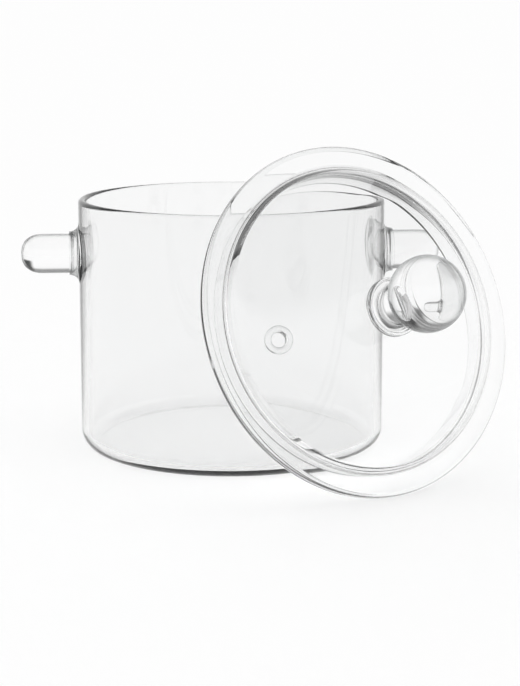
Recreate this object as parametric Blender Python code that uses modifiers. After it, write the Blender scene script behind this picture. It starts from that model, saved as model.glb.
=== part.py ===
"""A glass cooking pot with two solid rod handles and a domed glass lid, in metres, +Z up.

The pot stands on its flat base at the origin, with its handles along X. The lid stands on its
rim in front of the pot, with its ball knob to the front, and leans back on the pot's lip.
"""
import math

import bpy
from mathutils import Vector

MM = 0.001

# Clearance between pieces that touch
GAP = 0.3 * MM

# Pot
POT_RADIUS = 80 * MM
POT_HEIGHT = 132.2 * MM
POT_WALL = 4.2 * MM
POT_FLOOR = 4.5 * MM
BASE_CORNER = 10 * MM

# Handles: solid rods whose roots are fused to the wall inside a flared collar
ROD_RADIUS = 10.3 * MM
ROD_REACH = 30 * MM
ROD_DROP = 28.6 * MM
ROD_TIP_LENGTH = 12 * MM
ROD_TIP_SQUARENESS = 2.4
ROD_COLLAR_FLARE = 4.5 * MM
ROD_COLLAR_LENGTH = 5 * MM

# Lid: its own height starts at the middle of the flange and grows towards the knob
FLANGE_OVERHANG = 7.2 * MM
FLANGE_THICKNESS = 6 * MM
LID_GLASS = 2.8 * MM
SKIRT_CLEARANCE = 0.8 * MM
SKIRT_GLASS = 3 * MM
SKIRT_DEPTH = 9.5 * MM
SKIRT_FILLET = 1 * MM

# Dome: a shallow crown that bends down through a knuckle to the flange's upper face
DOME_STEP = 1 * MM
DOME_CURVATURE = 190 * MM
KNUCKLE_RADIUS = 30 * MM
KNUCKLE_SLOPE = 66.0
DOME_FILLET = 2 * MM

# Steam vent: a hole through the dome inside a fused glass ring
VENT_DISTANCE = 59.8 * MM
VENT_BEARING = 187.4
VENT_HOLE_RADIUS = 3.5 * MM
VENT_RING_RADIUS = 6.7 * MM
VENT_RING_HEIGHT = 1.6 * MM

# Knob
BALL_RADIUS = 18.15 * MM
BALL_RISE = 29.4 * MM
NECK_RADIUS = 8.7 * MM
NECK_FOOT_RADIUS = 12.4 * MM
NECK_FOOT_EDGE = 2 * MM
NECK_COLLAR_WIDTH = 1.5 * MM
NECK_COLLAR_HEIGHT = 3.2 * MM

# How the lid stands: its tilt back from upright, the way its knob points, and its sideways place
LID_LEAN = 20.7
LID_TURN = 27.0
LID_SIDE = 10 * MM

# Thickness of the rods' collars where they run out
COLLAR_EDGE = 0.8 * MM

# How far a cutter reaches past what it cuts
OVERSHOOT = 3 * MM

# Fineness: steps round the large and the small turned pieces, and along their profiles
TURNED_STEPS = 64
SMALL_STEPS = 32
CROWN_STEPS = 6
BEND_STEPS = 5
EDGE_STEPS = 6
FILLET_STEPS = 2
TIP_STEPS = 8
BALL_STEPS = 16

# Fineness of the search for the place where the lid leans on the lip
LIP_SAMPLES = 720
HALVINGS = 24

LIP_RADIUS = POT_WALL / 2
POT_BORE = POT_RADIUS - POT_WALL
ROD_HEIGHT = POT_HEIGHT - ROD_DROP
FLANGE_RADIUS = POT_RADIUS + FLANGE_OVERHANG
FLANGE_HALF = FLANGE_THICKNESS / 2
SKIRT_RADIUS = POT_BORE - SKIRT_CLEARANCE
SKIRT_HALF = SKIRT_GLASS / 2
SKIRT_MIDDLE = SKIRT_RADIUS - SKIRT_HALF
SKIRT_END = SKIRT_HALF - FLANGE_HALF - SKIRT_DEPTH

# The dome's two circles: the knuckle's centre, and the crown's centre on the axis
KNUCKLE_X = SKIRT_RADIUS + DOME_STEP - KNUCKLE_RADIUS * math.sin(math.radians(KNUCKLE_SLOPE))
KNUCKLE_Z = FLANGE_HALF - KNUCKLE_RADIUS * math.cos(math.radians(KNUCKLE_SLOPE))
CENTRES_APART = DOME_CURVATURE - KNUCKLE_RADIUS
CROWN_Z = KNUCKLE_Z - math.sqrt(CENTRES_APART ** 2 - KNUCKLE_X ** 2)
CROWN_REACH = DOME_CURVATURE * KNUCKLE_X / CENTRES_APART
DOME_RISE = CROWN_Z + DOME_CURVATURE


def clear_scene():
    for old in list(bpy.data.objects):
        bpy.data.objects.remove(old, do_unlink=True)


def collection(name):
    group = bpy.data.collections.new(name)
    bpy.context.scene.collection.children.link(group)
    return group


def glass(name, colour, roughness):
    material = bpy.data.materials.new(name)
    material.use_nodes = True
    shader = material.node_tree.nodes["Principled BSDF"]
    shader.inputs["Base Color"].default_value = (*colour, 1.0)
    shader.inputs["Roughness"].default_value = roughness
    shader.inputs["Metallic"].default_value = 0.0
    shader.inputs["Transmission Weight"].default_value = 1.0
    return material


def arc(x, z, radius, start, end, count):
    """Points on a circle in the profile's plane, from angle start to angle end in degrees."""
    angles = [math.radians(start + (end - start) * i / count) for i in range(count + 1)]
    return [(x + radius * math.cos(a), z + radius * math.sin(a)) for a in angles]


def turned(name, profile, group, material=None, steps=TURNED_STEPS, closed=False):
    """Turns a profile of (distance, height) points about the object's own Z axis."""
    mesh = bpy.data.meshes.new(name)
    edges = [(i, i + 1) for i in range(len(profile) - 1)]
    if closed:
        edges.append((len(profile) - 1, 0))
    mesh.from_pydata([(x, 0.0, z) for x, z in profile], edges, [])
    piece = bpy.data.objects.new(name, mesh)
    group.objects.link(piece)
    if material:
        mesh.materials.append(material)
    screw = piece.modifiers.new("Turn", "SCREW")
    screw.axis = "Z"
    screw.angle = math.tau
    screw.steps = steps
    screw.render_steps = steps
    screw.use_merge_vertices = True
    screw.merge_threshold = 0.00001
    screw.use_smooth_shade = True
    return piece


def turned_cutter(name, profile, group, steps=TURNED_STEPS):
    cutter = turned(name, profile, group, steps=steps)
    cutter.hide_render = True
    cutter.display_type = "WIRE"
    return cutter


def cut(piece, cutter):
    boolean = piece.modifiers.new("Cut by " + cutter.name, "BOOLEAN")
    boolean.operation = "DIFFERENCE"
    boolean.solver = "EXACT"
    boolean.object = cutter


def hang(piece, parent, place=(0.0, 0.0, 0.0), turn=(0.0, 0.0, 0.0)):
    piece.parent = parent
    piece.location = place
    piece.rotation_euler = turn


def empty(name, group):
    holder = bpy.data.objects.new(name, None)
    group.objects.link(holder)
    return holder


def pot_profile():
    """The vessel's section: up the inside from the middle of the floor, then down the outside."""
    inner_corner = BASE_CORNER - POT_WALL
    points = [(0.0, POT_FLOOR)]
    points += arc(POT_BORE - inner_corner, POT_FLOOR + inner_corner, inner_corner, -90, 0, EDGE_STEPS)
    points += arc(POT_RADIUS - LIP_RADIUS, POT_HEIGHT - LIP_RADIUS, LIP_RADIUS, 180, 0, EDGE_STEPS)
    points += arc(POT_RADIUS - BASE_CORNER, BASE_CORNER, BASE_CORNER, 0, -90, EDGE_STEPS)
    return points + [(0.0, 0.0)]


def dome_section(inset, stop):
    """The dome's curve at inset below its outer surface, from its top to the knuckle's angle stop."""
    turn = math.degrees(math.acos(KNUCKLE_X / CENTRES_APART))
    crown = arc(0.0, CROWN_Z, DOME_CURVATURE - inset, 90, turn, CROWN_STEPS)
    bend = arc(KNUCKLE_X, KNUCKLE_Z, KNUCKLE_RADIUS - inset, turn, stop, BEND_STEPS)
    return [(0.0, crown[0][1])] + crown[1:] + bend[1:]


def dome_point(distance):
    """The height and the slope in radians of the dome's outer surface at a distance from its axis."""
    centre, height, radius = KNUCKLE_X, KNUCKLE_Z, KNUCKLE_RADIUS
    if distance < CROWN_REACH:
        centre, height, radius = 0.0, CROWN_Z, DOME_CURVATURE
    slope = math.asin((distance - centre) / radius)
    return height + radius * math.cos(slope), slope


def lid_profile():
    """The lid's section: over the dome, round the flange, round the skirt and up the inside."""
    fillet_z = FLANGE_HALF + DOME_FILLET
    fillet_reach = KNUCKLE_RADIUS + DOME_FILLET
    meet = math.asin((fillet_z - KNUCKLE_Z) / fillet_reach)
    fillet_x = KNUCKLE_X + fillet_reach * math.cos(meet)
    points = dome_section(0.0, math.degrees(meet))
    points += arc(fillet_x, fillet_z, DOME_FILLET, 180 + math.degrees(meet), 270, FILLET_STEPS)[1:]
    points += arc(FLANGE_RADIUS - FLANGE_HALF, 0.0, FLANGE_HALF, 90, -90, EDGE_STEPS)
    root_x, root_z = SKIRT_RADIUS + SKIRT_FILLET, -FLANGE_HALF - SKIRT_FILLET
    points += arc(root_x, root_z, SKIRT_FILLET, 90, 180, FILLET_STEPS)
    points += arc(SKIRT_MIDDLE, SKIRT_END, SKIRT_HALF, 0, -180, EDGE_STEPS)
    skirt_bore = SKIRT_RADIUS - SKIRT_GLASS
    stop = math.acos((skirt_bore - KNUCKLE_X) / (KNUCKLE_RADIUS - LID_GLASS))
    return points + dome_section(LID_GLASS, math.degrees(stop))[::-1]


def rod_profile():
    """A rod along +Z from the pot's wall out, with a blunt round end."""
    start = POT_RADIUS - POT_WALL
    end = POT_RADIUS + ROD_REACH
    power = 2 / ROD_TIP_SQUARENESS
    points = [(0.0, end)]
    for i in range(1, TIP_STEPS + 1):
        a = math.radians(90 * i / TIP_STEPS)
        x = ROD_RADIUS * math.sin(a) ** power
        z = end - ROD_TIP_LENGTH + ROD_TIP_LENGTH * math.cos(a) ** power
        points.append((x, z))
    return points + [(ROD_RADIUS, start), (0.0, start)]


def rod_collar_profile():
    """The flared collar round a rod's root: a hollow fillet between the rod and the wall."""
    bore = ROD_RADIUS + GAP
    wide = bore + COLLAR_EDGE + ROD_COLLAR_FLARE
    outer_end = POT_RADIUS + ROD_COLLAR_LENGTH
    inner_end = POT_RADIUS - POT_WALL
    points = [(bore, outer_end)]
    for i in range(EDGE_STEPS + 1):
        a = math.radians(90 * i / EDGE_STEPS)
        x = wide - ROD_COLLAR_FLARE * math.cos(a)
        z = outer_end - ROD_COLLAR_LENGTH * math.sin(a)
        points.append((x, z))
    return points + [(wide, inner_end), (bore, inner_end)]


def ring_profile(bore, outer, bottom, top):
    """A ring with a rounded crown."""
    half = (outer - bore) / 2
    crown = min(half, top - bottom)
    points = []
    for i in range(EDGE_STEPS + 1):
        a = math.pi * (1 - i / EDGE_STEPS)
        points.append((bore + half + half * math.cos(a), top - crown + crown * math.sin(a)))
    return points + [(outer, bottom), (bore, bottom)]


def neck_profile(root, top):
    """The knob's neck: from the ball down, flaring to a wide foot on the dome."""
    flare = NECK_FOOT_RADIUS - NECK_RADIUS
    high = top - math.sqrt(BALL_RADIUS ** 2 - NECK_RADIUS ** 2)
    low = DOME_RISE + NECK_FOOT_EDGE
    points = [(0.0, top), (NECK_RADIUS, top)]
    for i in range(EDGE_STEPS + 1):
        a = math.radians(90 * i / EDGE_STEPS)
        x = NECK_FOOT_RADIUS - flare * math.cos(a)
        z = high - (high - low) * math.sin(a)
        points.append((x, z))
    return points + [(NECK_FOOT_RADIUS, root), (0.0, root)]


def make_pot(group, cutters):
    turned("pot_body", pot_profile(), group, glass("pot_glass", (0.93, 0.94, 0.94), 0.02))
    reach = POT_RADIUS + GAP
    wall = [(0.0, POT_HEIGHT), (reach, POT_HEIGHT), (reach, 0.0), (0.0, 0.0)]
    wall_cutter = turned_cutter("pot_wall_cutter", wall, cutters)
    for side, facing in (("left", -1), ("right", 1)):
        holder = empty(side + "_handle", group)
        holder.location = (0.0, 0.0, ROD_HEIGHT)
        holder.rotation_euler = (0.0, facing * math.radians(90), 0.0)
        rod_glass = glass(side + "_rod_glass", (0.95, 0.96, 0.96), 0.02)
        rod = turned(side + "_handle_rod", rod_profile(), group, rod_glass, SMALL_STEPS)
        collar_glass = glass(side + "_collar_glass", (0.90, 0.92, 0.92), 0.03)
        collar = turned(side + "_handle_collar", rod_collar_profile(), group, collar_glass,
                        SMALL_STEPS, closed=True)
        for piece in (rod, collar):
            hang(piece, holder)
            cut(piece, wall_cutter)


def lip_clearance(place, axis):
    """The least gap between the pot's lip and the skirt, a ring wall with a round lower end."""
    lip_ring = POT_RADIUS - LIP_RADIUS
    least = math.inf
    for i in range(LIP_SAMPLES):
        a = math.tau * i / LIP_SAMPLES
        lip = Vector((lip_ring * math.cos(a), lip_ring * math.sin(a), POT_HEIGHT - LIP_RADIUS))
        along = (lip - place).dot(axis)
        radial = (lip - place - along * axis).length
        below = max(0.0, SKIRT_END - along)
        between = math.hypot(below, SKIRT_MIDDLE - radial)
        least = min(least, between - SKIRT_HALF - LIP_RADIUS)
    return least


def lid_place():
    """Where the middle of the flange lies, with the lid's rim on the floor and its skirt on the lip."""
    lean = math.radians(LID_LEAN)
    turn = math.radians(LID_TURN)
    forward = Vector((math.sin(turn), -math.cos(turn), 0.0))
    sideways = Vector((math.cos(turn), math.sin(turn), 0.0))
    up = Vector((0.0, 0.0, 1.0))
    axis = forward * math.cos(lean) + up * math.sin(lean)
    height = (FLANGE_RADIUS - FLANGE_HALF) * math.cos(lean) + FLANGE_HALF
    start = sideways * LID_SIDE + up * height
    near, far = POT_RADIUS, 2 * POT_RADIUS
    for _ in range(HALVINGS):
        middle = (near + far) / 2
        if lip_clearance(start + forward * middle, axis) < GAP:
            near = middle
        else:
            far = middle
    return start + forward * far


def make_lid(group, cutters):
    holder = empty("lid", group)
    holder.location = lid_place()
    holder.rotation_euler = (math.radians(90 - LID_LEAN), 0.0, math.radians(LID_TURN))
    shell = turned("lid_shell", lid_profile(), group, glass("lid_glass", (0.93, 0.94, 0.94), 0.02))
    hang(shell, holder)

    # The dome grown by the gap, which the pieces that stand on it are cut by
    grown = dome_section(-GAP, 90 - KNUCKLE_SLOPE)
    grown += [(grown[-1][0], 0.0), (0.0, 0.0)]
    dome_cutter = turned_cutter("dome_cutter", grown, cutters)
    hang(dome_cutter, holder)

    make_vent(group, cutters, holder, shell, dome_cutter)
    make_knob(group, cutters, holder, dome_cutter)


def make_vent(group, cutters, holder, shell, dome_cutter):
    bearing = math.radians(VENT_BEARING)
    height, slope = dome_point(VENT_DISTANCE)
    place = (VENT_DISTANCE * math.cos(bearing), VENT_DISTANCE * math.sin(bearing), height)
    turn = (0.0, slope, bearing)
    below = -LID_GLASS - OVERSHOOT
    hole = [
        (0.0, OVERSHOOT),
        (VENT_HOLE_RADIUS, OVERSHOOT),
        (VENT_HOLE_RADIUS, below),
        (0.0, below),
    ]
    hole_cutter = turned_cutter("vent_hole_cutter", hole, cutters, SMALL_STEPS)
    hang(hole_cutter, holder, place, turn)
    cut(shell, hole_cutter)

    section = ring_profile(VENT_HOLE_RADIUS, VENT_RING_RADIUS, -LID_GLASS / 2, VENT_RING_HEIGHT)
    ring = turned("vent_ring", section, group, glass("vent_glass", (0.90, 0.92, 0.92), 0.03),
                  SMALL_STEPS, closed=True)
    hang(ring, holder, place, turn)
    cut(ring, dome_cutter)


def make_knob(group, cutters, holder, dome_cutter):
    root = DOME_RISE - LID_GLASS
    top = DOME_RISE + BALL_RISE
    ball_place = (0.0, 0.0, top)
    ball = turned("knob_ball", arc(0.0, 0.0, BALL_RADIUS, 90, -90, BALL_STEPS), group,
                  glass("ball_glass", (0.95, 0.96, 0.96), 0.01), SMALL_STEPS)
    hang(ball, holder, ball_place)
    grown = arc(0.0, 0.0, BALL_RADIUS + GAP, 90, -90, BALL_STEPS)
    ball_cutter = turned_cutter("ball_cutter", grown, cutters, SMALL_STEPS)
    hang(ball_cutter, holder, ball_place)

    neck = turned("knob_neck", neck_profile(root, top), group,
                  glass("neck_glass", (0.95, 0.96, 0.96), 0.02), SMALL_STEPS)
    hang(neck, holder)
    cut(neck, ball_cutter)
    cut(neck, dome_cutter)

    bore = NECK_FOOT_RADIUS + GAP
    section = ring_profile(bore, bore + NECK_COLLAR_WIDTH, root, DOME_RISE + NECK_COLLAR_HEIGHT)
    collar = turned("knob_collar", section, group, glass("knob_collar_glass", (0.90, 0.92, 0.92), 0.03),
                    SMALL_STEPS, closed=True)
    hang(collar, holder)
    cut(collar, dome_cutter)


def main():
    clear_scene()
    pot = collection("glass_cooking_pot")
    cutters = collection("cutters")
    make_pot(pot, cutters)
    make_lid(pot, cutters)


main()
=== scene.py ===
"""The looks of a glass cooking pot and its lid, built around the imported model.

Every glass piece is a turned section. A piece stands where its CAD node stands, in metres, +Z up.
"""
import math

import bmesh
import bpy
from bpy.props import FloatProperty, FloatVectorProperty, IntProperty, PointerProperty
from mathutils import Euler, Matrix, Vector


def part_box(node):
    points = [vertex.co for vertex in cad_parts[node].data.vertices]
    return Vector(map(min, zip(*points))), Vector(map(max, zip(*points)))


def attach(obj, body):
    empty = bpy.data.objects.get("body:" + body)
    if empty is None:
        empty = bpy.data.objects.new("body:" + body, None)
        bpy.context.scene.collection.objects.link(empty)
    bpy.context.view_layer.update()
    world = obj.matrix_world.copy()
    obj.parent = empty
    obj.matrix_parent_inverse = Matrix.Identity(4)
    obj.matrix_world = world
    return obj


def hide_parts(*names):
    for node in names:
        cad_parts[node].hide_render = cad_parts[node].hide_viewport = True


bl_info = {
    "name": "Glass cooking pot",
    "version": (1, 0, 0),
    "blender": (4, 5, 0),
    "location": "View3D > Sidebar > Glass pot",
    "description": "Makes a glass pot with rod handles and a domed lid, and its pale studio",
    "category": "Object",
}

MM = 0.001

# Points of a turned piece that are nearer than this become one
MERGE_DISTANCE = 0.002 * MM

# Faces that meet at a wider angle than this keep a crisp edge between them
SHARP_ANGLE = math.radians(35)

# Keeps a quotient that should be whole from falling just short of it
WHOLE_NUDGE = 0.0005

# What a boolean cutter reaches past the glass
OVERSHOOT = 3 * MM

# Rings that the root of a handle or of the vent's ring is divided into
ROOT_RINGS = 6

# Rounds in which the vent's ring is moved out of the curved dome
SEATING_ROUNDS = 3

# Places of the Mix node's colour sockets
MIX_FACTOR, MIX_A, MIX_B, MIX_RESULT = 0, 6, 7, 2

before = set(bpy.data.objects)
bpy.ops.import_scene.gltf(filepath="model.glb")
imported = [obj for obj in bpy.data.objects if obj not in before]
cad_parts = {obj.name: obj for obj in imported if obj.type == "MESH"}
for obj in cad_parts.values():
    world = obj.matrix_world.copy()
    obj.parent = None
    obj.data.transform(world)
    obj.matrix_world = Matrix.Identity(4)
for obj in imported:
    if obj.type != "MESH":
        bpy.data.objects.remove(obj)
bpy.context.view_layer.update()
pot_low, pot_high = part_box("pot_body")
rod_low, rod_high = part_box("right_handle_rod")
ball_low, ball_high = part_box("knob_ball")


def length(name, description, default):
    """A length in metres."""
    return FloatProperty(name=name, description=description, default=default, min=0.0,
                         subtype="DISTANCE", unit="LENGTH", precision=5)


def angle(name, description, degrees):
    """An angle, kept in radians, whose default is given in degrees."""
    return FloatProperty(name=name, description=description, default=math.radians(degrees),
                         subtype="ANGLE", unit="ROTATION")


def share(name, description, default, top=1.0):
    """A plain number from 0 to top."""
    return FloatProperty(name=name, description=description, default=default, min=0.0, max=top)


def count(description, default):
    """A number of steps round a turned piece."""
    return IntProperty(name="Steps", description=description, default=default, min=16)


def colour(name, description, default):
    """A colour, with parts from 0 to 1."""
    return FloatVectorProperty(name=name, description=description, default=default, size=3,
                               min=0.0, max=1.0, subtype="COLOR")


class PotSizes(bpy.types.PropertyGroup):
    """Sizes of the vessel."""

    radius: length("Radius", "Outer radius of the wall", pot_high.x)
    height: length("Height", "From the base to the top of the lip", pot_high.z)
    wall: length("Wall", "Thickness of the wall", 4.2 * MM)
    floor: length("Floor", "Thickness of the floor", 4.5 * MM)
    corner: length("Base corner", "Outer radius between the wall and the base", 10 * MM)
    gap: length("Gap", "Clearance between glass pieces that touch", 0.3 * MM)
    steps: count("Steps round a large turned piece", 256)


class HandleSizes(bpy.types.PropertyGroup):
    """Sizes of the two solid rods and their flared welds."""

    radius: length("Radius", "Radius of a rod", 10.3 * MM)
    end: length("End", "From the pot's axis to the tip of a rod", rod_high.x)
    height: length("Height", "Height of the rods' axis", (rod_low.z + rod_high.z) / 2)
    tip: length("Tip", "Length of the blunt round tip", 12 * MM)
    squareness: FloatProperty(name="Squareness", description="Power of the tip's curve",
                              default=2.4, min=2.0, max=6.0)
    flare: length("Flare", "Width of the weld's flare", 4.5 * MM)
    weld: length("Weld", "Length of the weld along the rod", 5 * MM)
    weld_edge: length("Weld edge", "Thickness of the weld where it runs out", 0.8 * MM)
    steps: count("Steps round a small turned piece", 96)


class LidSizes(bpy.types.PropertyGroup):
    """Sizes of the lid, whose own height starts at the middle of its flange."""

    flange_radius: length("Flange radius", "Outer radius of the flange", 87.2 * MM)
    flange: length("Flange", "Thickness of the flange", 6 * MM)
    glass: length("Glass", "Thickness of the dome", 2.8 * MM)
    skirt_radius: length("Skirt radius", "Outer radius of the skirt", 75 * MM)
    skirt_glass: length("Skirt glass", "Thickness of the skirt", 3 * MM)
    skirt_depth: length("Skirt depth", "Depth of the skirt below the flange", 9.5 * MM)
    root_fillet: length("Root fillet", "Fillet between the flange and the skirt", 1 * MM)
    step: length("Step", "From the skirt's outside to the dome's foot", 1 * MM)
    crown: length("Crown", "Radius of the shallow crown", 190 * MM)
    knuckle: length("Knuckle", "Radius of the bend at the dome's foot", 30 * MM)
    slope: angle("Slope", "Slope of the dome at its foot", 66)
    foot_fillet: length("Foot fillet", "Fillet between the dome and the flange", 2 * MM)
    lean: angle("Lean", "Tilt back from upright", 20.7)
    turn: angle("Turn", "The way the knob points, from the front towards the right", 27)


class VentSizes(bpy.types.PropertyGroup):
    """Sizes of the steam hole and its ring."""

    distance: length("Distance", "From the lid's axis to the hole", 59.8 * MM)
    bearing: angle("Bearing", "Direction of the hole round the lid's axis", 187.4)
    hole: length("Hole", "Radius of the hole", 3.5 * MM)
    ring: length("Ring", "Outer radius of the ring", 6.7 * MM)
    height: length("Height", "Height of the ring over the dome", 1.6 * MM)
    steps: count("Steps round the hole and its ring", 64)


class KnobSizes(bpy.types.PropertyGroup):
    """Sizes of the ball, its neck and the weld at the neck's foot."""

    ball: length("Ball", "Radius of the ball", 18.15 * MM)
    rise: length("Rise", "From the top of the dome to the middle of the ball", 29.4 * MM)
    neck: length("Neck", "Radius of the neck under the ball", 8.7 * MM)
    foot: length("Foot", "Radius of the neck's wide foot", 12.4 * MM)
    foot_edge: length("Foot edge", "Height of the foot's straight edge over the dome", 2 * MM)
    weld: length("Weld", "Width of the weld ring", 1.5 * MM)
    weld_height: length("Weld height", "Height of the weld ring over the dome", 3.2 * MM)


class GlassLook(bpy.types.PropertyGroup):
    """The look of clear, fire polished glass."""

    tint: colour("Tint", "Colour that light keeps at each face of the vessel",
                 (0.955, 0.957, 0.957))
    lid_tint: colour("Lid tint", "The same for the lid", (0.985, 0.987, 0.987))
    solid_tint: colour("Solid tint", "The same for rods and the knob", (0.990, 0.991, 0.991))
    weld_tint: colour("Weld tint", "The same for welds", (0.980, 0.982, 0.982))
    # Painted shade: the next three settings paint a dark colour into thick glass towards its
    # outline, where the surface turns from the eye
    edge: colour("Edge", "Colour that light keeps at the outline of thick glass",
                 (0.16, 0.17, 0.17))
    outline_shade_from: share("Edge from", "Turn from the eye where thick glass starts to darken", 0.35)
    outline_shade_full: share("Edge full", "Turn from the eye where thick glass is darkest", 0.8)
    ior: FloatProperty(name="IOR", description="Index of refraction of the glass",
                       default=1.47, min=1.0, max=2.5)
    polish: share("Polish", "Roughness of the smoothest glass", 0.0)
    bloom: share("Bloom", "Roughness of the dullest glass", 0.004)
    wave_size: length("Wave size", "Distance between the slow waves of hand made glass", 45 * MM)
    wave_depth: length("Wave depth", "Depth of the waves", 0.03 * MM)
    cloud_size: length("Cloud size", "Distance between the duller clouds in the polish", 22.5 * MM)
    cloud_from: share("Cloud from", "Strength of the noise where a dull cloud starts", 0.55)
    cloud_full: share("Cloud full", "Strength of the noise where it is dullest", 0.8)
    shadow: colour("Shadow", "Light that passes one surface in a shadow", (0.970, 0.971, 0.971))


class StudioLook(bpy.types.PropertyGroup):
    """The floor, the light and the camera."""

    floor: colour("Floor", "Colour of the floor", (0.985, 0.985, 0.985))
    floor_size: length("Floor size", "Side of the floor", 60.0)
    drop: length("Drop", "How far the floor lies under the base", 0.3 * MM)
    light: share("Light", "Brightness of the even light all round", 1.0, 2.0)
    overhead: share("Overhead", "Brightness overhead that the glass shows", 0.3)
    low: share("Low", "Height of direction up to which the glass shows white", 0.4)
    high: share("High", "Height of direction from which the glass shows overhead", 0.6)
    panel: share("Panel", "Brightness of the dark panel on the right", 0.02)
    panel_from: share("Panel from", "Rightward part of a direction where the panel starts", 0.2)
    panel_full: share("Panel full", "Rightward part of a direction where it is full", 0.4)
    panel_low: share("Panel low", "Height of direction where the panel starts", 0.08)
    panel_high: share("Panel high", "Height of direction where it is full", 0.18)
    fade: share("Fade", "Brightness that each reflection but the first takes", 0.4)
    depth: share("Depth", "Least brightness that reflections leave", 0.45)
    through: share("Through", "Brightness of the light that reaches the floor by the glass",
                   1.65, 4.0)
    lens: FloatProperty(name="Lens", description="Focal length in millimetres", default=98.94,
                        min=1.0)
    sensor: FloatProperty(name="Sensor", description="Width of the sensor in millimetres",
                          default=36.0, min=1.0)
    reach: length("Reach", "How far the camera sees", 200.0)
    place: FloatVectorProperty(name="Place", description="Place of the camera", size=3,
                               default=(-0.06874, -0.98300, 0.2439), subtype="XYZ",
                               unit="LENGTH")
    tilt: angle("Tilt", "How far the camera looks down", 10.89)
    pan: angle("Pan", "How far the camera is turned to the right", 4.88)


class Value:
    """A number in a node tree. Arithmetic on it adds Math nodes."""

    def __init__(self, nodes, socket):
        self.nodes = nodes
        self.socket = socket

    def math(self, operation, *terms):
        """The value of one Math node on the terms."""
        node = self.nodes.add("ShaderNodeMath", {"operation": operation}, dict(enumerate(terms)))
        return Value(self.nodes, node.outputs[0])

    def __add__(self, other):
        return self.math("ADD", self, other)

    def __radd__(self, other):
        return self.math("ADD", other, self)

    def __sub__(self, other):
        return self.math("SUBTRACT", self, other)

    def __rsub__(self, other):
        return self.math("SUBTRACT", other, self)

    def __mul__(self, other):
        return self.math("MULTIPLY", self, other)

    def __rmul__(self, other):
        return self.math("MULTIPLY", other, self)

    def __truediv__(self, other):
        return self.math("DIVIDE", self, other)

    def __mod__(self, other):
        return self.math("MODULO", self, other)

    def floor(self):
        return self.math("FLOOR", self)

    def sine(self):
        return self.math("SINE", self)

    def cosine(self):
        return self.math("COSINE", self)

    def larger(self, other):
        return self.math("MAXIMUM", self, other)

    def smaller(self, other):
        return self.math("MINIMUM", self, other)

    def between(self, low, high):
        """0 up to low, 1 from high on, and smooth between them."""
        node = self.nodes.add("ShaderNodeMapRange", {"interpolation_type": "SMOOTHSTEP"},
                              {"Value": self, "From Min": low, "From Max": high})
        return Value(self.nodes, node.outputs["Result"])


class Nodes:
    """A node tree, and the one way that nodes are added to it."""

    def __init__(self, tree):
        self.tree = tree

    def add(self, kind, settings=None, inputs=None):
        """Adds a node, sets its settings, then feeds its sockets by name or place."""
        node = self.tree.nodes.new(kind)
        for name, value in (settings or {}).items():
            setattr(node, name, value)
        for key, value in (inputs or {}).items():
            self.feed(node.inputs[key], value)
        return node

    def feed(self, socket, value):
        if isinstance(value, Value):
            value = value.socket
        if isinstance(value, bpy.types.NodeSocket):
            self.tree.links.new(value, socket)
        else:
            socket.default_value = value

    def value(self, socket):
        return Value(self, socket)

    def mix_colours(self, share_of_second, first, second):
        """The first colour with a changing share of the second mixed in."""
        node = self.add("ShaderNodeMix", {"data_type": "RGBA"}, {
            MIX_FACTOR: share_of_second, MIX_A: first, MIX_B: (*second, 1.0)})
        return node.outputs[MIX_RESULT]


def empty_nodes(owner):
    """The emptied node tree of a new material or world."""
    owner.use_nodes = True
    owner.node_tree.nodes.clear()
    return Nodes(owner.node_tree)


def glass_material(name, tint, look, thick):
    """Clear glass with the slow waves and the faint changes of polish of hand made ware.

    Thick glass gets painted shade: its colour darkens towards its outline, where the surface turns
    from the eye.
    """
    material = bpy.data.materials.new(name)
    nodes = empty_nodes(material)
    where = nodes.add("ShaderNodeTexCoord").outputs["Object"]
    slow = nodes.add("ShaderNodeTexNoise", None,
                     {"Vector": where, "Scale": 1 / look.wave_size, "Detail": 0.0})
    wave = nodes.add("ShaderNodeBump", None,
                     {"Height": slow.outputs[0], "Distance": look.wave_depth, "Strength": 1.0})
    cloud = nodes.add("ShaderNodeTexNoise", None,
                      {"Vector": where, "Scale": 1 / look.cloud_size, "Detail": 2.0})
    dull = nodes.value(cloud.outputs[0]).between(look.cloud_from, look.cloud_full)
    body = (*tint, 1.0)
    # Painted shade: the colour of thick glass is mixed towards a dark colour where its surface
    # turns from the eye
    if thick:
        weight = nodes.add("ShaderNodeLayerWeight", None, {"Blend": 0.5})
        aside = nodes.value(weight.outputs["Facing"])
        body = nodes.mix_colours(aside.between(look.outline_shade_from, look.outline_shade_full), body, look.edge)
    surface = nodes.add("ShaderNodeBsdfPrincipled", None, {
        "Base Color": body,
        "Roughness": look.polish + dull * (look.bloom - look.polish),
        "IOR": look.ior,
        "Transmission Weight": 1.0,
        "Normal": wave.outputs[0],
    })
    clear = nodes.add("ShaderNodeBsdfTransparent", None, {"Color": (*look.shadow, 1.0)})
    ray = nodes.add("ShaderNodeLightPath").outputs
    # The Mix Shader's two shader sockets share a name, so they go by place
    both = nodes.add("ShaderNodeMixShader", None, {
        "Fac": ray["Is Shadow Ray"], 1: surface.outputs[0], 2: clear.outputs[0]})
    nodes.add("ShaderNodeOutputMaterial", None, {"Surface": both.outputs[0]})
    return material


def clear_glass(piece, tint, look, thick=False):
    """The clear glass of a kind of piece, made the first time that it is asked for."""
    name = "clear_" + piece + "_glass"
    return bpy.data.materials.get(name) or glass_material(name, tint, look, thick)


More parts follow.
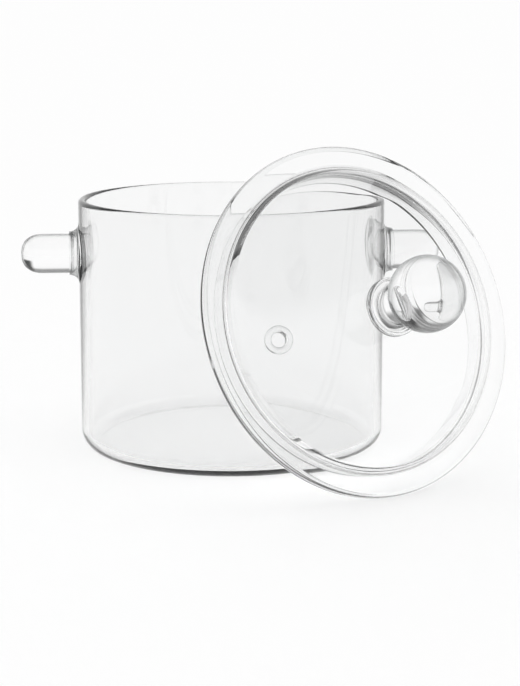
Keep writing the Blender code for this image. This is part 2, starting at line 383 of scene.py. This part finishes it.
def turning_tree():
    """The Geometry Nodes tree that turns a section about Z and puts the piece in its place."""
    found = bpy.data.node_groups.get("Turned section")
    if found:
        return found
    tree = bpy.data.node_groups.new("Turned section", "GeometryNodeTree")
    sockets = (
        ("Section", "INPUT", "NodeSocketGeometry"),
        ("Steps", "INPUT", "NodeSocketInt"),
        ("Place", "INPUT", "NodeSocketVector"),
        ("Turn", "INPUT", "NodeSocketVector"),
        ("Sharp angle", "INPUT", "NodeSocketFloat"),
        ("Glass", "INPUT", "NodeSocketMaterial"),
        ("Piece", "OUTPUT", "NodeSocketGeometry"),
    )
    for name, way, kind in sockets:
        tree.interface.new_socket(name, in_out=way, socket_type=kind)
    nodes = Nodes(tree)
    given = nodes.add("NodeGroupInput").outputs
    shape = turned_grid(nodes, given["Section"], nodes.value(given["Steps"]))
    shaded = crisp_edges(nodes, shape, given["Sharp angle"])
    turn = nodes.add("FunctionNodeEulerToRotation", None, {"Euler": given["Turn"]})
    placed = nodes.add("GeometryNodeTransform", None, {
        "Geometry": shaded,
        "Translation": given["Place"],
        "Rotation": turn.outputs[0]})
    real = nodes.add("GeometryNodeRealizeInstances", None, {"Geometry": placed.outputs[0]})
    glazed = nodes.add("GeometryNodeSetMaterial", None, {
        "Geometry": real.outputs[0], "Material": given["Glass"]})
    nodes.add("NodeGroupOutput", None, {"Piece": glazed.outputs[0]})
    return tree


def turned_grid(nodes, section, steps):
    """A grid whose rows are the section, turned about Z a step further each time, and closed."""
    size = nodes.add("GeometryNodeAttributeDomainSize", {"component": "MESH"},
                     {"Geometry": section})
    points = nodes.value(size.outputs["Point Count"])
    grid = nodes.add("GeometryNodeMeshGrid", None, {"Vertices X": steps + 1, "Vertices Y": points})

    index = nodes.value(nodes.add("GeometryNodeInputIndex").outputs[0])
    position = nodes.add("GeometryNodeInputPosition").outputs[0]
    sample = nodes.add("GeometryNodeSampleIndex",
                       {"data_type": "FLOAT_VECTOR", "domain": "POINT"},
                       {"Geometry": section, "Value": position, "Index": index % points})
    parts = nodes.add("ShaderNodeSeparateXYZ", None, {"Vector": sample.outputs[0]})
    distance = nodes.value(parts.outputs["X"])
    row = (index / points + WHOLE_NUDGE).floor()
    round_angle = row / steps * math.tau
    turned_point = nodes.add("ShaderNodeCombineXYZ", None, {
        "X": distance * round_angle.cosine(),
        "Y": distance * round_angle.sine(),
        "Z": parts.outputs["Z"],
    })
    shaped = nodes.add("GeometryNodeSetPosition", None, {
        "Geometry": grid.outputs["Mesh"], "Position": turned_point.outputs[0]})
    closed = nodes.add("GeometryNodeMergeByDistance", None, {
        "Geometry": shaped.outputs[0], "Distance": MERGE_DISTANCE})
    return closed.outputs[0]


def crisp_edges(nodes, shape, sharp_angle):
    """Smooth shading, but for the edges where faces meet at more than the sharp angle."""
    smooth = nodes.add("GeometryNodeSetShadeSmooth", {"domain": "FACE"}, {
        "Geometry": shape, "Shade Smooth": True})
    fold = nodes.value(nodes.add("GeometryNodeInputMeshEdgeAngle").outputs["Unsigned Angle"])
    edged = nodes.add("GeometryNodeSetShadeSmooth", {"domain": "EDGE"}, {
        "Geometry": smooth.outputs[0],
        "Selection": fold.math("GREATER_THAN", fold, sharp_angle),
        "Shade Smooth": False})
    return edged.outputs[0]


def turned(name, section, matrix, steps, glass):
    """Turns a section of (distance, height) points into a plain mesh that stands in its place."""
    mesh = bpy.data.meshes.new(name + "_section")
    edges = [(i, i + 1) for i in range(len(section) - 1)]
    mesh.from_pydata([(x, 0.0, z) for x, z in section], edges, [])
    piece = bpy.data.objects.new(name, mesh)
    bpy.context.scene.collection.objects.link(piece)
    turning = piece.modifiers.new("Turned section", "NODES")
    turning.node_group = turning_tree()
    values = {
        "Steps": steps,
        "Place": matrix.to_translation(),
        "Turn": matrix.to_euler(),
        "Sharp angle": SHARP_ANGLE,
        "Glass": glass,
    }
    for item in turning.node_group.interface.items_tree:
        if item.name in values and item.in_out == "INPUT":
            turning[item.identifier] = values[item.name]
    return plain(piece)


def plain(piece):
    """Swaps a piece's mesh for what its modifiers make of it, with its faces outwards."""
    bpy.context.view_layer.update()
    graph = bpy.context.evaluated_depsgraph_get()
    made = bpy.data.meshes.new_from_object(piece.evaluated_get(graph), depsgraph=graph)
    piece.modifiers.clear()
    old = piece.data
    piece.data = made
    made.name = piece.name
    bpy.data.meshes.remove(old)
    # The empty slot of the section's own mesh comes first
    if made.materials[0] is None:
        made.materials.pop(index=0)
    shape = bmesh.new()
    shape.from_mesh(made)
    bmesh.ops.recalc_face_normals(shape, faces=shape.faces)
    shape.to_mesh(made)
    shape.free()
    if not made.polygons:
        raise RuntimeError(piece.name + " came out empty")
    return piece


def cut(piece, cutter):
    """Cuts a piece by a cutter, which is then removed."""
    boolean = piece.modifiers.new("Cut", "BOOLEAN")
    boolean.operation = "DIFFERENCE"
    boolean.solver = "EXACT"
    boolean.object = cutter
    plain(piece)
    bpy.data.objects.remove(cutter, do_unlink=True)
    piece.data.set_sharp_from_angle(angle=SHARP_ANGLE)


def spread(start, end, steps):
    """Numbers evenly spread from start to end, both of them included."""
    return [start + (end - start) * i / steps for i in range(steps + 1)]


def fan(start, end, steps):
    """Angles in radians, evenly spread between two that are given in degrees."""
    return [math.radians(degrees) for degrees in spread(start, end, steps)]


def arc(x, z, radius, start, end, steps):
    """Points on a circle in the section's plane, from angle start to angle end in degrees."""
    return [(x + radius * math.cos(a), z + radius * math.sin(a)) for a in fan(start, end, steps)]


def line(start, end, steps):
    """Points from start, which is left out, to end."""
    distances = spread(start[0], end[0], steps)
    heights = spread(start[1], end[1], steps)
    return list(zip(distances, heights))[1:]


def finish_piece(piece, body, node):
    """Says what a piece moves with, and hides the imported part that it stands for."""
    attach(piece, body)
    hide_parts(node)


class Dome:
    """The lid's dome: a shallow crown that bends down through a knuckle."""

    def __init__(self, lid):
        self.crown = lid.crown
        self.knuckle = lid.knuckle
        foot = lid.skirt_radius + lid.step
        self.knuckle_x = foot - lid.knuckle * math.sin(lid.slope)
        self.knuckle_z = lid.flange / 2 - lid.knuckle * math.cos(lid.slope)
        self.apart = lid.crown - lid.knuckle
        self.crown_z = self.knuckle_z - math.sqrt(self.apart ** 2 - self.knuckle_x ** 2)
        self.rise = self.crown_z + lid.crown

    def section(self, inset, stop):
        """The dome's curve at inset below its outer face, to the knuckle's angle stop."""
        turn = math.degrees(math.acos(self.knuckle_x / self.apart))
        crown = arc(0.0, self.crown_z, self.crown - inset, 90, turn, steps=48)
        bend = arc(self.knuckle_x, self.knuckle_z, self.knuckle - inset, turn, stop, steps=40)
        return [(0.0, crown[0][1])] + crown[1:] + bend[1:]

    def cap(self, lift, start, end, steps):
        """Points on the crown, lifted by lift, between two distances from its axis."""
        radius = self.crown + lift
        return [(x, self.crown_z + math.sqrt(radius ** 2 - x ** 2))
                for x in spread(start, end, steps)]

    def outside(self, point):
        """How far a point of the lid's own space lies outside the dome."""
        away = math.hypot(point.x, point.y)
        up = point.z - self.crown_z
        if away * (self.knuckle_z - self.crown_z) < self.knuckle_x * up:
            return math.hypot(away, up) - self.crown
        return math.hypot(away - self.knuckle_x, point.z - self.knuckle_z) - self.knuckle

    def point(self, away):
        """Height and slope of the dome at a distance from its axis."""
        reach = self.crown * self.knuckle_x / self.apart
        centre, height, radius = self.knuckle_x, self.knuckle_z, self.knuckle
        if away < reach:
            centre, height, radius = 0.0, self.crown_z, self.crown
        slope = math.asin((away - centre) / radius)
        return height + radius * math.cos(slope), slope


def lid_matrix(scene):
    """Where the lid stands: its knob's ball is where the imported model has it."""
    lid, knob = scene.lid_sizes, scene.knob_sizes
    turn = Euler((math.pi / 2 - lid.lean, 0.0, lid.turn)).to_matrix().to_4x4()
    ball = (ball_low + ball_high) / 2
    rise = Dome(lid).rise + knob.rise
    return Matrix.Translation(ball - turn.to_3x3() @ Vector((0.0, 0.0, rise))) @ turn


def vent_matrix(scene):
    """Where the steam hole is in the lid's own space, with its axis square to the dome."""
    vent = scene.vent_sizes
    height, slope = Dome(scene.lid_sizes).point(vent.distance)
    spot = (vent.distance * math.cos(vent.bearing), vent.distance * math.sin(vent.bearing), height)
    turn = Euler((0.0, slope, vent.bearing)).to_matrix().to_4x4()
    return Matrix.Translation(spot) @ turn


class GLASSPOT_OT_vessel(bpy.types.Operator):
    """Makes the pot's vessel: wall, lip, rounded corner and flat floor"""

    bl_idname = "glasspot.vessel"
    bl_label = "Vessel"

    def execute(self, context):
        scene = context.scene
        pot, look = scene.pot_sizes, scene.glass_look
        bore, lip = pot.radius - pot.wall, pot.wall / 2
        inner_corner = pot.corner - pot.wall
        low = pot.floor + inner_corner
        corner = arc(bore - inner_corner, low, inner_corner, -90, 0, steps=20)
        section = [(0.0, pot.floor)]
        section += line(section[0], corner[0], steps=6) + corner[1:]
        section += arc(pot.radius - lip, pot.height - lip, lip, 180, 0, steps=28)
        section += arc(pot.radius - pot.corner, pot.corner, pot.corner, 0, -90, steps=28)
        section += line(section[-1], (0.0, 0.0), steps=6)
        glass = clear_glass("pot", look.tint, look)
        vessel = turned("glass_vessel", section, Matrix(), pot.steps, glass)
        finish_piece(vessel, "pot", "pot_body")
        return {"FINISHED"}


class GLASSPOT_OT_handles(bpy.types.Operator):
    """Makes the two solid glass rods and their flared welds"""

    bl_idname = "glasspot.handles"
    bl_label = "Handles"

    def execute(self, context):
        scene = context.scene
        pot, rod, look = scene.pot_sizes, scene.handle_sizes, scene.glass_look
        seat = pot.radius + pot.gap
        root = pot.radius - pot.wall
        rod_glass = clear_glass("rod", look.solid_tint, look, thick=True)
        weld_glass = clear_glass("weld", look.weld_tint, look, thick=True)
        for side, way in (("left", -1), ("right", 1)):
            matrix = Matrix.Translation((0.0, 0.0, rod.height)) @ Matrix.Rotation(
                way * math.pi / 2, 4, "Y")
            piece = turned(side + "_rod", self.rod_section(rod, root), matrix, rod.steps,
                           rod_glass)
            self.seat_on_wall(piece.data, way, seat)
            finish_piece(piece, "pot", side + "_handle_rod")
            weld = turned(side + "_rod_weld", self.weld_section(pot, rod, root), matrix,
                          rod.steps, weld_glass)
            self.seat_on_wall(weld.data, way, seat)
            finish_piece(weld, "pot", side + "_handle_collar")
        return {"FINISHED"}

    def rod_section(self, rod, root):
        """A rod from its blunt round tip down to its root."""
        points = [(0.0, rod.end)]
        power = 2 / rod.squareness
        for a in fan(0, 90, steps=40)[1:]:
            points.append((rod.radius * math.sin(a) ** power,
                           rod.end - rod.tip + rod.tip * math.cos(a) ** power))
        points += line(points[-1], (rod.radius, root), steps=4)
        return points + line(points[-1], (0.0, root), ROOT_RINGS)

    def weld_section(self, pot, rod, root):
        """A weld that widens like a trumpet from its thin edge on the rod to the wall."""
        bore = rod.radius + pot.gap
        wide = bore + rod.weld_edge + rod.flare
        outer_end = pot.radius + rod.weld
        points = [(bore, outer_end)]
        for a in fan(0, 90, steps=24):
            points.append((wide - rod.flare * math.cos(a), outer_end - rod.weld * math.sin(a)))
        points += line(points[-1], (wide, root), steps=2)
        points += line(points[-1], (bore, root), ROOT_RINGS)
        return points + line(points[-1], (bore, outer_end), steps=4)

    def seat_on_wall(self, mesh, way, seat):
        """Moves what reaches into the wall out to the wall's surface."""
        for vertex in mesh.vertices:
            wall = math.sqrt(seat ** 2 - vertex.co.y ** 2)
            vertex.co.x = way * max(way * vertex.co.x, wall)
        mesh.update()


class GLASSPOT_OT_lid(bpy.types.Operator):
    """Makes the lid's dome, flange and skirt, with the steam hole"""

    bl_idname = "glasspot.lid"
    bl_label = "Lid"

    def execute(self, context):
        scene = context.scene
        lid, vent, look = scene.lid_sizes, scene.vent_sizes, scene.glass_look
        glass = clear_glass("lid", look.lid_tint, look)
        place = lid_matrix(scene)
        shell = turned("glass_lid", self.section(lid), place, scene.pot_sizes.steps, glass)
        below = -lid.glass - OVERSHOOT
        hole = [(0.0, OVERSHOOT), (vent.hole, OVERSHOOT), (vent.hole, below), (0.0, below)]
        cutter = turned("hole_cutter", hole, place @ vent_matrix(scene), vent.steps, glass)
        cut(shell, cutter)
        finish_piece(shell, "lid", "lid_shell")
        return {"FINISHED"}

    def section(self, lid):
        """The dome's outside, then the flange, the skirt and the dome's inside."""
        dome = Dome(lid)
        half = lid.flange / 2
        fillet_z = half + lid.foot_fillet
        meet = math.asin((fillet_z - dome.knuckle_z) / (lid.knuckle + lid.foot_fillet))
        fillet_x = dome.knuckle_x + (lid.knuckle + lid.foot_fillet) * math.cos(meet)
        points = dome.section(0.0, math.degrees(meet))
        start = 180 + math.degrees(meet)
        points += arc(fillet_x, fillet_z, lid.foot_fillet, start, 270, steps=12)[1:]
        points += arc(lid.flange_radius - half, 0.0, half, 90, -90, steps=32)
        fillet = lid.root_fillet
        points += arc(lid.skirt_radius + fillet, -half - fillet, fillet, 90, 180, steps=8)
        skirt = lid.skirt_glass / 2
        end = skirt - half - lid.skirt_depth
        points += arc(lid.skirt_radius - skirt, end, skirt, 0, -180, steps=20)
        bore = lid.skirt_radius - lid.skirt_glass
        stop = math.acos((bore - dome.knuckle_x) / (lid.knuckle - lid.glass))
        return points + dome.section(lid.glass, math.degrees(stop))[::-1]


class GLASSPOT_OT_vent(bpy.types.Operator):
    """Makes the glass ring round the steam hole"""

    bl_idname = "glasspot.vent"
    bl_label = "Vent ring"

    def execute(self, context):
        scene = context.scene
        vent, look, gap = scene.vent_sizes, scene.glass_look, scene.pot_sizes.gap
        place = vent_matrix(scene)
        section = self.section(vent, -scene.lid_sizes.glass / 2)
        ring = turned("vent_glass_ring", section, place, vent.steps,
                      clear_glass("weld", look.weld_tint, look, thick=True))
        axis = place.to_3x3() @ Vector((0.0, 0.0, 1.0))
        self.seat_on_dome(ring.data, Dome(scene.lid_sizes), axis, gap)
        ring.data.transform(lid_matrix(scene))
        finish_piece(ring, "lid", "vent_ring")
        return {"FINISHED"}

    def section(self, vent, root):
        """The ring's rounded top, then its sides down to the root inside the dome's glass."""
        half = (vent.ring - vent.hole) / 2
        crown = [(vent.hole + half + half * math.cos(a), vent.height * math.sin(a))
                 for a in fan(180, 0, steps=24)]
        points = crown + line(crown[-1], (vent.ring, root), steps=2)
        points += line(points[-1], (vent.hole, root), ROOT_RINGS)
        return points + line(points[-1], crown[0], steps=2)

    def seat_on_dome(self, mesh, dome, axis, gap):
        """Moves what reaches into the dome's glass out along the axis, to a gap's width off it."""
        for vertex in mesh.vertices:
            for _ in range(SEATING_ROUNDS):
                short = gap - dome.outside(vertex.co)
                vertex.co += axis * max(0.0, short)


class GLASSPOT_OT_knob(bpy.types.Operator):
    """Makes the solid ball, its neck and the weld at the neck's foot"""

    bl_idname = "glasspot.knob"
    bl_label = "Knob"

    def execute(self, context):
        scene = context.scene
        lid, knob, look = scene.lid_sizes, scene.knob_sizes, scene.glass_look
        gap, steps = scene.pot_sizes.gap, scene.handle_sizes.steps
        dome, place = Dome(lid), lid_matrix(scene)
        middle = dome.rise + knob.rise

        ball_section = arc(0.0, middle, knob.ball, 90, -90, steps=72)
        ball = turned("knob_glass_ball", ball_section, place, steps,
                      clear_glass("ball", look.solid_tint, look, thick=True))
        finish_piece(ball, "lid", "knob_ball")

        cup = knob.ball + gap
        edge = math.degrees(math.asin(knob.neck / cup))
        section = arc(0.0, middle, cup, -90, -90 + edge, steps=16)
        section += self.flare(section[-1][1], dome.rise + knob.foot_edge, knob)
        root = dome.cap(gap, knob.foot, 0.0, steps=12)
        section += line(section[-1], root[0], steps=2) + root[1:]
        neck = turned("knob_glass_neck", section, place, steps,
                      clear_glass("rod", look.solid_tint, look, thick=True))
        finish_piece(neck, "lid", "knob_neck")

        bore = knob.foot + gap
        half = knob.weld / 2
        top = dome.rise + knob.weld_height
        section = arc(bore + half, top - half, half, 180, 0, steps=16)
        root = dome.cap(gap, bore + knob.weld, bore, steps=4)
        section += line(section[-1], root[0], steps=3) + root[1:]
        section += line(section[-1], section[0], steps=3)
        weld = turned("knob_weld", section, place, steps,
                      clear_glass("weld", look.weld_tint, look, thick=True))
        finish_piece(weld, "lid", "knob_collar")
        return {"FINISHED"}

    def flare(self, high, low, knob):
        """The neck's side, which widens like a trumpet from under the ball to the foot."""
        return [(knob.foot - (knob.foot - knob.neck) * math.cos(a),
                 high - (high - low) * math.sin(a)) for a in fan(0, 90, steps=24)[1:]]


class GLASSPOT_OT_stage(bpy.types.Operator):
    """Makes the pale floor, the even studio light and the camera"""

    bl_idname = "glasspot.stage"
    bl_label = "Stage"

    def execute(self, context):
        scene = context.scene
        studio = scene.studio_look
        self.make_floor(scene, studio)
        self.make_world(scene, studio)
        self.make_camera(scene, studio)
        scene.view_settings.view_transform = "Standard"
        return {"FINISHED"}

    def make_floor(self, scene, studio):
        half = studio.floor_size / 2
        mesh = bpy.data.meshes.new("floor")
        corners = [(-half, -half), (half, -half), (half, half), (-half, half)]
        mesh.from_pydata([(x, y, pot_low.z - studio.drop) for x, y in corners], [], [(0, 1, 2, 3)])
        floor = bpy.data.objects.new("floor", mesh)
        scene.collection.objects.link(floor)
        paper = bpy.data.materials.new("floor_paper")
        nodes = empty_nodes(paper)
        matt = nodes.add("ShaderNodeBsdfDiffuse", None, {"Color": (*studio.floor, 1.0)})
        nodes.add("ShaderNodeOutputMaterial", None, {"Surface": matt.outputs[0]})
        mesh.materials.append(paper)

    def make_world(self, scene, studio):
        """Even light for all that is matt, a pale background, and what glass shows."""
        world = bpy.data.worlds.new("studio")
        scene.world = world
        nodes = empty_nodes(world)
        ray = nodes.add("ShaderNodeLightPath").outputs
        white = studio.floor[0] * studio.light
        shown = self.shown_by_glass(nodes, ray, white, studio)
        seen = nodes.value(ray["Is Glossy Ray"]).larger(ray["Is Transmission Ray"])
        camera = nodes.value(ray["Is Camera Ray"])
        strength = camera * white + (1 - camera) * (
            seen * shown + (1 - seen) * studio.light)
        light = nodes.add("ShaderNodeBackground", None, {
            "Color": (1.0, 1.0, 1.0, 1.0), "Strength": strength})
        nodes.add("ShaderNodeOutputWorld", None, {"Surface": light.outputs[0]})

    def shown_by_glass(self, nodes, ray, white, studio):
        """What glass shows: a white horizon, a grey top and a dark panel on the right.

        Mirrored light doesn't see the panel, and fades each time that it is mirrored again. What
        reaches the floor by the glass is of one brightness, so that the glass's shadow stays pale.
        """
        way = nodes.add("ShaderNodeTexCoord").outputs["Generated"]
        parts = nodes.add("ShaderNodeSeparateXYZ", None, {"Vector": way}).outputs
        right, up = nodes.value(parts["X"]), nodes.value(parts["Z"])
        top = up.between(studio.low, studio.high)
        shown = white + top * (studio.overhead - white)
        mirrored = nodes.value(ray["Glossy Depth"])
        panel = (right.between(studio.panel_from, studio.panel_full)
                 * up.between(studio.panel_low, studio.panel_high)
                 * (1 - mirrored.smaller(1.0)))
        shown = shown + panel * (studio.panel - shown)
        fade = 1 - studio.fade * (mirrored - 1).larger(0.0)
        shown = shown * fade.larger(studio.depth)
        from_floor = nodes.value(ray["Diffuse Depth"]).smaller(1.0)
        return from_floor * studio.through + (1 - from_floor) * shown

    def make_camera(self, scene, studio):
        lens = bpy.data.cameras.new("camera")
        lens.sensor_width = studio.sensor
        lens.lens = studio.lens
        lens.clip_end = studio.reach
        camera = bpy.data.objects.new("camera", lens)
        scene.collection.objects.link(camera)
        camera.location = studio.place
        camera.rotation_euler = (math.pi / 2 - studio.tilt, 0.0, -studio.pan)
        scene.camera = camera


class GLASSPOT_PT_panel(bpy.types.Panel):
    """Lists the steps that make the glass pot, and its sizes and looks"""

    bl_idname = "GLASSPOT_PT_panel"
    bl_label = "Glass pot"
    bl_space_type = "VIEW_3D"
    bl_region_type = "UI"
    bl_category = "Glass pot"

    def draw(self, context):
        for step in STEPS:
            self.layout.operator(step.bl_idname)
        for name in SETTINGS:
            box = self.layout.box()
            group = getattr(context.scene, name)
            for setting in group.__annotations__:
                box.prop(group, setting)


SETTINGS = {
    "pot_sizes": PotSizes,
    "handle_sizes": HandleSizes,
    "lid_sizes": LidSizes,
    "vent_sizes": VentSizes,
    "knob_sizes": KnobSizes,
    "glass_look": GlassLook,
    "studio_look": StudioLook,
}
STEPS = (
    GLASSPOT_OT_vessel,
    GLASSPOT_OT_handles,
    GLASSPOT_OT_lid,
    GLASSPOT_OT_vent,
    GLASSPOT_OT_knob,
    GLASSPOT_OT_stage,
)


def register():
    for name, group in SETTINGS.items():
        bpy.utils.register_class(group)
        setattr(bpy.types.Scene, name, PointerProperty(type=group))
    for step in STEPS:
        bpy.utils.register_class(step)
    bpy.utils.register_class(GLASSPOT_PT_panel)


def unregister():
    bpy.utils.unregister_class(GLASSPOT_PT_panel)
    for step in reversed(STEPS):
        bpy.utils.unregister_class(step)
    for name, group in reversed(SETTINGS.items()):
        delattr(bpy.types.Scene, name)
        bpy.utils.unregister_class(group)


def main():
    register()
    bpy.ops.glasspot.vessel()
    bpy.ops.glasspot.handles()
    bpy.ops.glasspot.lid()
    bpy.ops.glasspot.vent()
    bpy.ops.glasspot.knob()
    bpy.ops.glasspot.stage()


if __name__ == "__main__":
    main()
